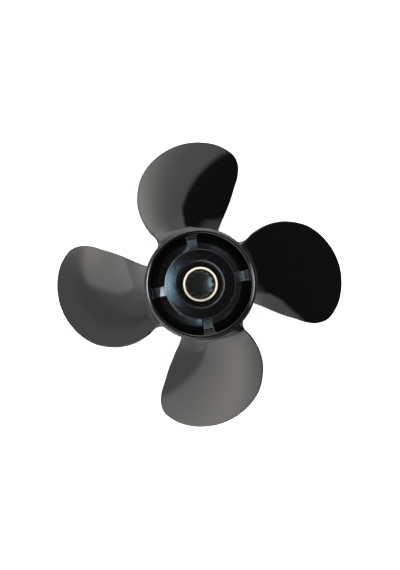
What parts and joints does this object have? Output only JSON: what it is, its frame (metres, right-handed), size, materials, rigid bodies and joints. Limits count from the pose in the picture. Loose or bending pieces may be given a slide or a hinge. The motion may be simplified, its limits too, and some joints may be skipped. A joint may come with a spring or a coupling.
{
  "type": "outboard propeller",
  "caption": "Right-hand outboard propeller: wide skewed blades on a tapered barrel with through-hub exhaust, cushioned by a rubber bushing on a splined brass sleeve.",
  "frame": {"origin": "centre of the barrel's aft rim, the flat face that a loose propeller stands on", "axes": "+Z along the shaft axis, towards the forward end that faces the gearcase; X and Y across the shaft, with +X to the right and +Y up in the picture"},
  "size_m": [0.2916, 0.2916, 0.1],
  "materials": {
    "gloss_black_paint": "gloss black paint on cast aluminium",
    "black_rubber": "matte",
    "machined_brass": "turned, slightly dull"
  },
  "bodies": {
    "root": {"hub_barrel": "gloss_black_paint", "inner_hub": "gloss_black_paint", "rubber_bushing": "black_rubber", "splined_sleeve": "machined_brass", "blade_1": "gloss_black_paint", "blade_2": "gloss_black_paint", "blade_3": "gloss_black_paint", "blade_4": "gloss_black_paint", "exhaust_rib_1": "gloss_black_paint", "exhaust_rib_2": "gloss_black_paint", "exhaust_rib_3": "gloss_black_paint", "exhaust_rib_4": "gloss_black_paint"}
  },
  "joints": []
}
